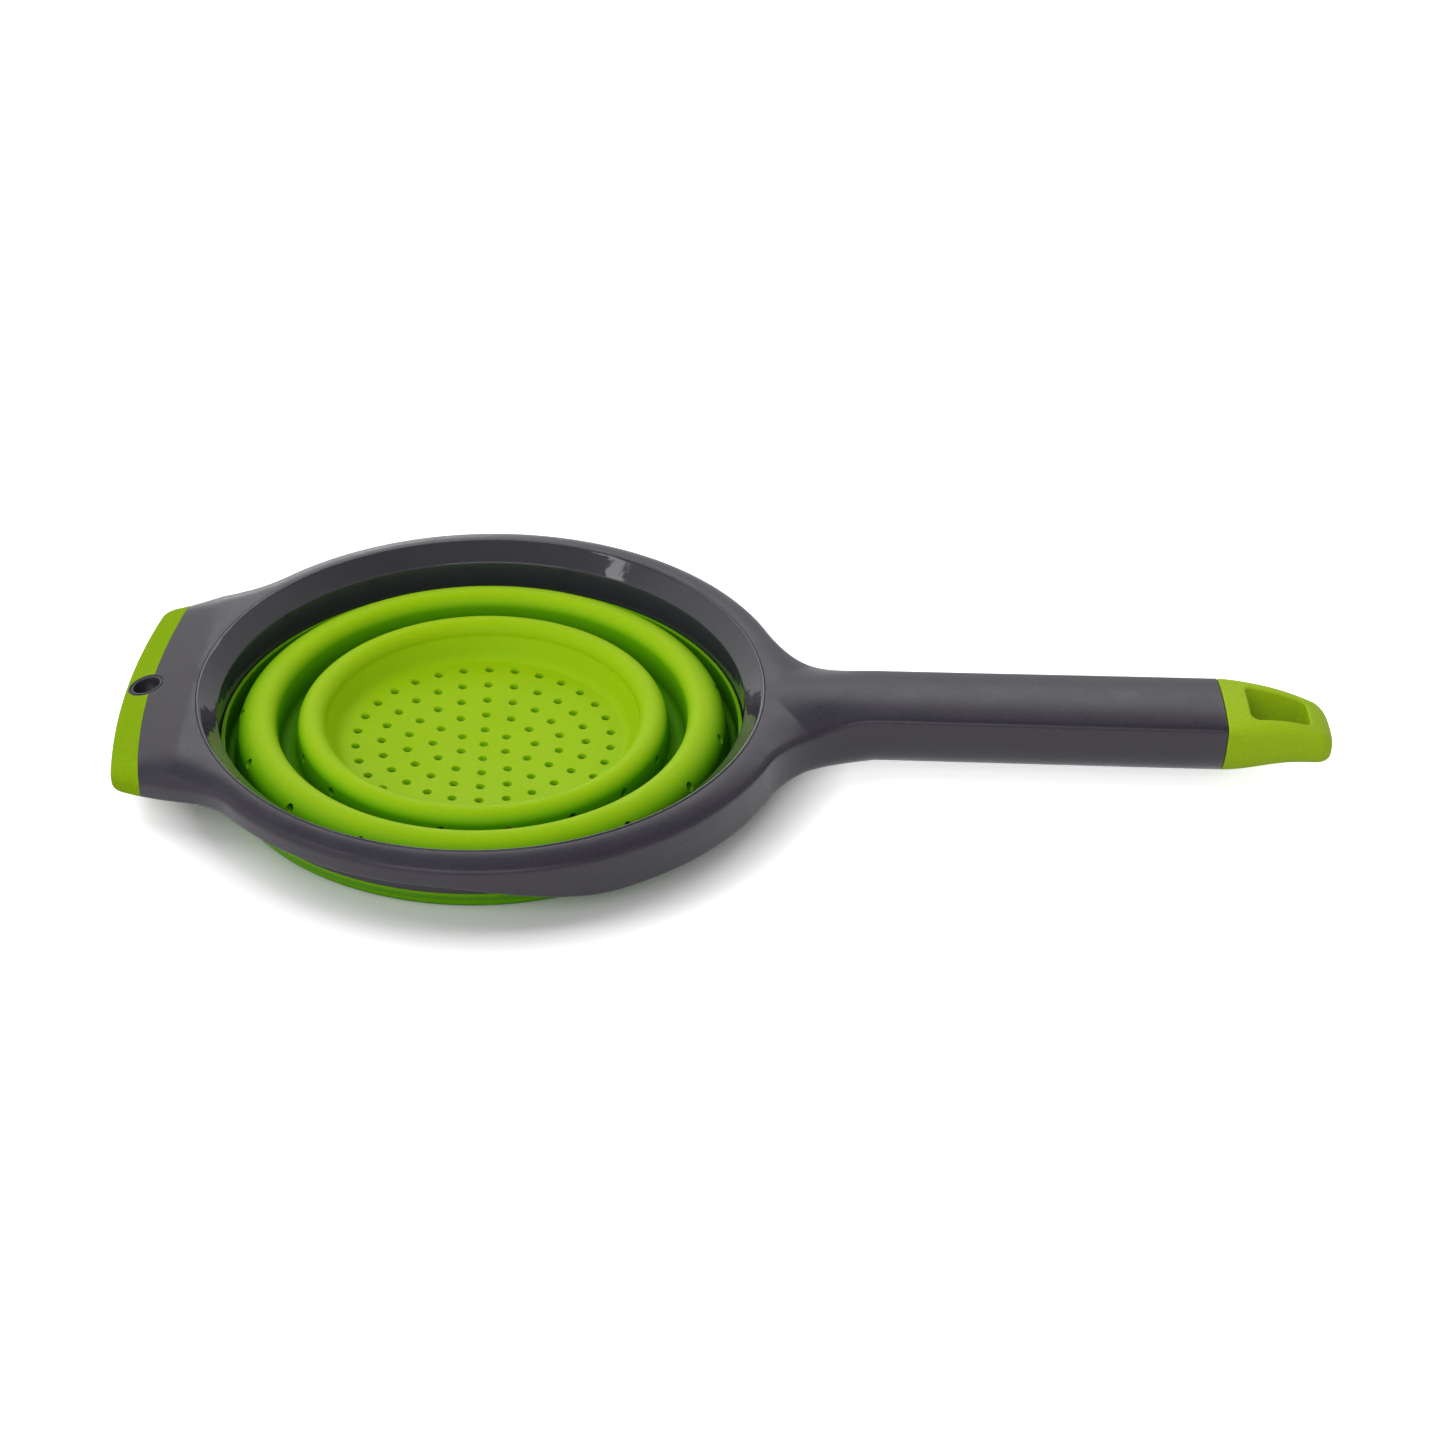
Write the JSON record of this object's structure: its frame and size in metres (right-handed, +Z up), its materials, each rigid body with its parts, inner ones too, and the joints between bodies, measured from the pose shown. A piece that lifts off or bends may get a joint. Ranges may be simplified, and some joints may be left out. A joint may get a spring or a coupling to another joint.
{
  "type": "collapsible colander",
  "caption": "Folding silicone colander bowl in a rigid ring, with a long straight handle, a grip tab and a hanging loop.",
  "frame": {"origin": "on the surface it stands on, below the middle of its overall length and width", "axes": "+X along the handle towards its hanging loop, +Z up out of the bowl, with the bowl folded flat"},
  "size_m": [0.399, 0.2026, 0.0277],
  "materials": {
    "grey_plastic": "matte charcoal grey moulding with a fine even grain",
    "grey_gloss_plastic": "polished charcoal grey",
    "green_silicone": "satin lime green silicone",
    "green_rubber": "matte lime green soft-touch rubber"
  },
  "bodies": {
    "frame": {"rim_handle_frame": "grey_plastic", "bowl_ring": "grey_gloss_plastic", "tab_grip": "green_rubber", "handle_end_cap": "green_rubber", "bowl_outer_wall": "green_silicone", "bowl_outer_fold": "green_silicone"},
    "middle": {"bowl_middle_wall": "green_silicone", "bowl_inner_fold": "green_silicone"},
    "floor": {"bowl_floor": "green_silicone"}
  },
  "joints": [
    {"name": "middle_wall_slide", "type": "slide", "parent": "frame", "child": "middle", "axis": [0, 0, -1], "range_m": [0, 0.036], "deforming": ["bowl_outer_fold"]},
    {"name": "floor_slide", "type": "slide", "parent": "middle", "child": "floor", "axis": [0, 0, -1], "range_m": [0, 0.0285], "deforming": ["bowl_inner_fold"]}
  ]
}
